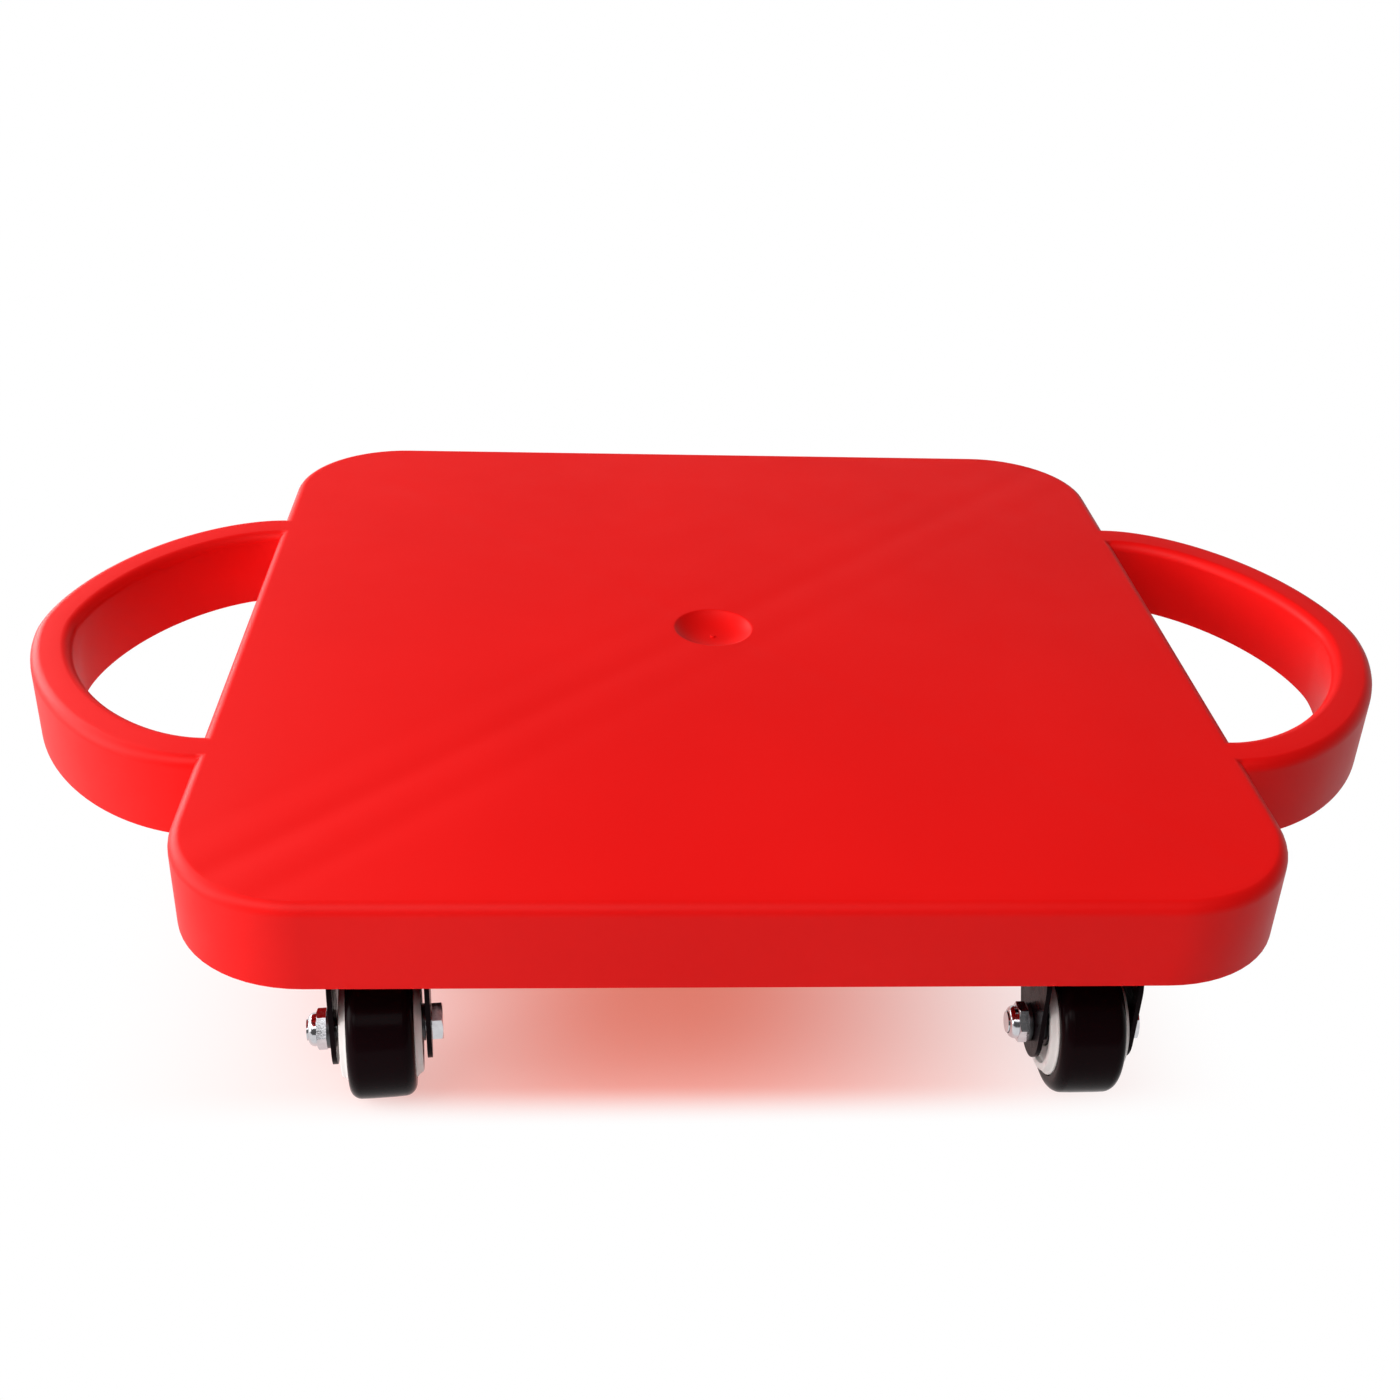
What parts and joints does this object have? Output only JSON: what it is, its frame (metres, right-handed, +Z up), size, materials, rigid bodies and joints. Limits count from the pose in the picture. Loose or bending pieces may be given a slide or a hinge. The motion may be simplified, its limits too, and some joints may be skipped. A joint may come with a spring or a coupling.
{
  "type": "scooter board",
  "caption": "Square moulded scooter board with a loop handle on each side, a dimpled top, a ribbed underside and swivel casters with bolted wheels.",
  "frame": {"origin": "on the floor, under the middle of the deck", "axes": "+X to the right side with its hand loop, +Y to the rear, +Z up; the front is the side towards -Y, where the wheels trail at rest"},
  "size_m": [0.437, 0.305, 0.08],
  "materials": {
    "red_plastic": "satin, moulded",
    "black_painted_steel": "semi-gloss black",
    "zinc_steel": "zinc plated",
    "bearing_steel": "darkened",
    "white_core_plastic": "satin",
    "black_tyre": "smooth, slightly glossy"
  },
  "bodies": {
    "board": {"deck": "red_plastic", "front_left_mounting_plate": "black_painted_steel", "front_left_kingpin": "zinc_steel", "front_right_mounting_plate": "black_painted_steel", "front_right_kingpin": "zinc_steel", "rear_left_mounting_plate": "black_painted_steel", "rear_left_kingpin": "zinc_steel", "rear_right_mounting_plate": "black_painted_steel", "rear_right_kingpin": "zinc_steel"},
    "front_left_swivel": {"front_left_fork": "black_painted_steel", "front_left_swivel_ball_ring": "bearing_steel", "front_left_axle_bolt": "zinc_steel", "front_left_axle_nut": "zinc_steel"},
    "front_left_wheel": {"front_left_wheel_core": "white_core_plastic", "front_left_tyre": "black_tyre", "front_left_bearing_left": "bearing_steel", "front_left_bearing_right": "bearing_steel"},
    "front_right_swivel": {"front_right_fork": "black_painted_steel", "front_right_swivel_ball_ring": "bearing_steel", "front_right_axle_bolt": "zinc_steel", "front_right_axle_nut": "zinc_steel"},
    "front_right_wheel": {"front_right_wheel_core": "white_core_plastic", "front_right_tyre": "black_tyre", "front_right_bearing_left": "bearing_steel", "front_right_bearing_right": "bearing_steel"},
    "rear_left_swivel": {"rear_left_fork": "black_painted_steel", "rear_left_swivel_ball_ring": "bearing_steel", "rear_left_axle_bolt": "zinc_steel", "rear_left_axle_nut": "zinc_steel"},
    "rear_left_wheel": {"rear_left_wheel_core": "white_core_plastic", "rear_left_tyre": "black_tyre", "rear_left_bearing_left": "bearing_steel", "rear_left_bearing_right": "bearing_steel"},
    "rear_right_swivel": {"rear_right_fork": "black_painted_steel", "rear_right_swivel_ball_ring": "bearing_steel", "rear_right_axle_bolt": "zinc_steel", "rear_right_axle_nut": "zinc_steel"},
    "rear_right_wheel": {"rear_right_wheel_core": "white_core_plastic", "rear_right_tyre": "black_tyre", "rear_right_bearing_left": "bearing_steel", "rear_right_bearing_right": "bearing_steel"}
  },
  "joints": [
    {"name": "front_left_swivel", "type": "hinge", "parent": "board", "child": "front_left_swivel", "pos_m": [-0.0997, -0.108, 0.05], "axis": [0, 0, 1], "continuous": true},
    {"name": "front_left_wheel_spin", "type": "hinge", "parent": "front_left_swivel", "child": "front_left_wheel", "pos_m": [-0.09788, -0.12691, 0.02], "axis": [0.9954, 0.0958, 0], "continuous": true},
    {"name": "front_right_swivel", "type": "hinge", "parent": "board", "child": "front_right_swivel", "pos_m": [0.0997, -0.108, 0.05], "axis": [0, 0, 1], "continuous": true},
    {"name": "front_right_wheel_spin", "type": "hinge", "parent": "front_right_swivel", "child": "front_right_wheel", "pos_m": [0.09987, -0.127, 0.02], "axis": [1, 0.0087, 0], "continuous": true},
    {"name": "rear_left_swivel", "type": "hinge", "parent": "board", "child": "rear_left_swivel", "pos_m": [-0.0997, 0.108, 0.05], "axis": [0, 0, 1], "continuous": true},
    {"name": "rear_left_wheel_spin", "type": "hinge", "parent": "rear_left_swivel", "child": "rear_left_wheel", "pos_m": [-0.09838, 0.08905, 0.02], "axis": [0.9976, 0.0698, 0], "continuous": true},
    {"name": "rear_right_swivel", "type": "hinge", "parent": "board", "child": "rear_right_swivel", "pos_m": [0.0997, 0.108, 0.05], "axis": [0, 0, 1], "continuous": true},
    {"name": "rear_right_wheel_spin", "type": "hinge", "parent": "rear_right_swivel", "child": "rear_right_wheel", "pos_m": [0.10069, 0.08903, 0.02], "axis": [0.9986, 0.0523, 0], "continuous": true}
  ]
}
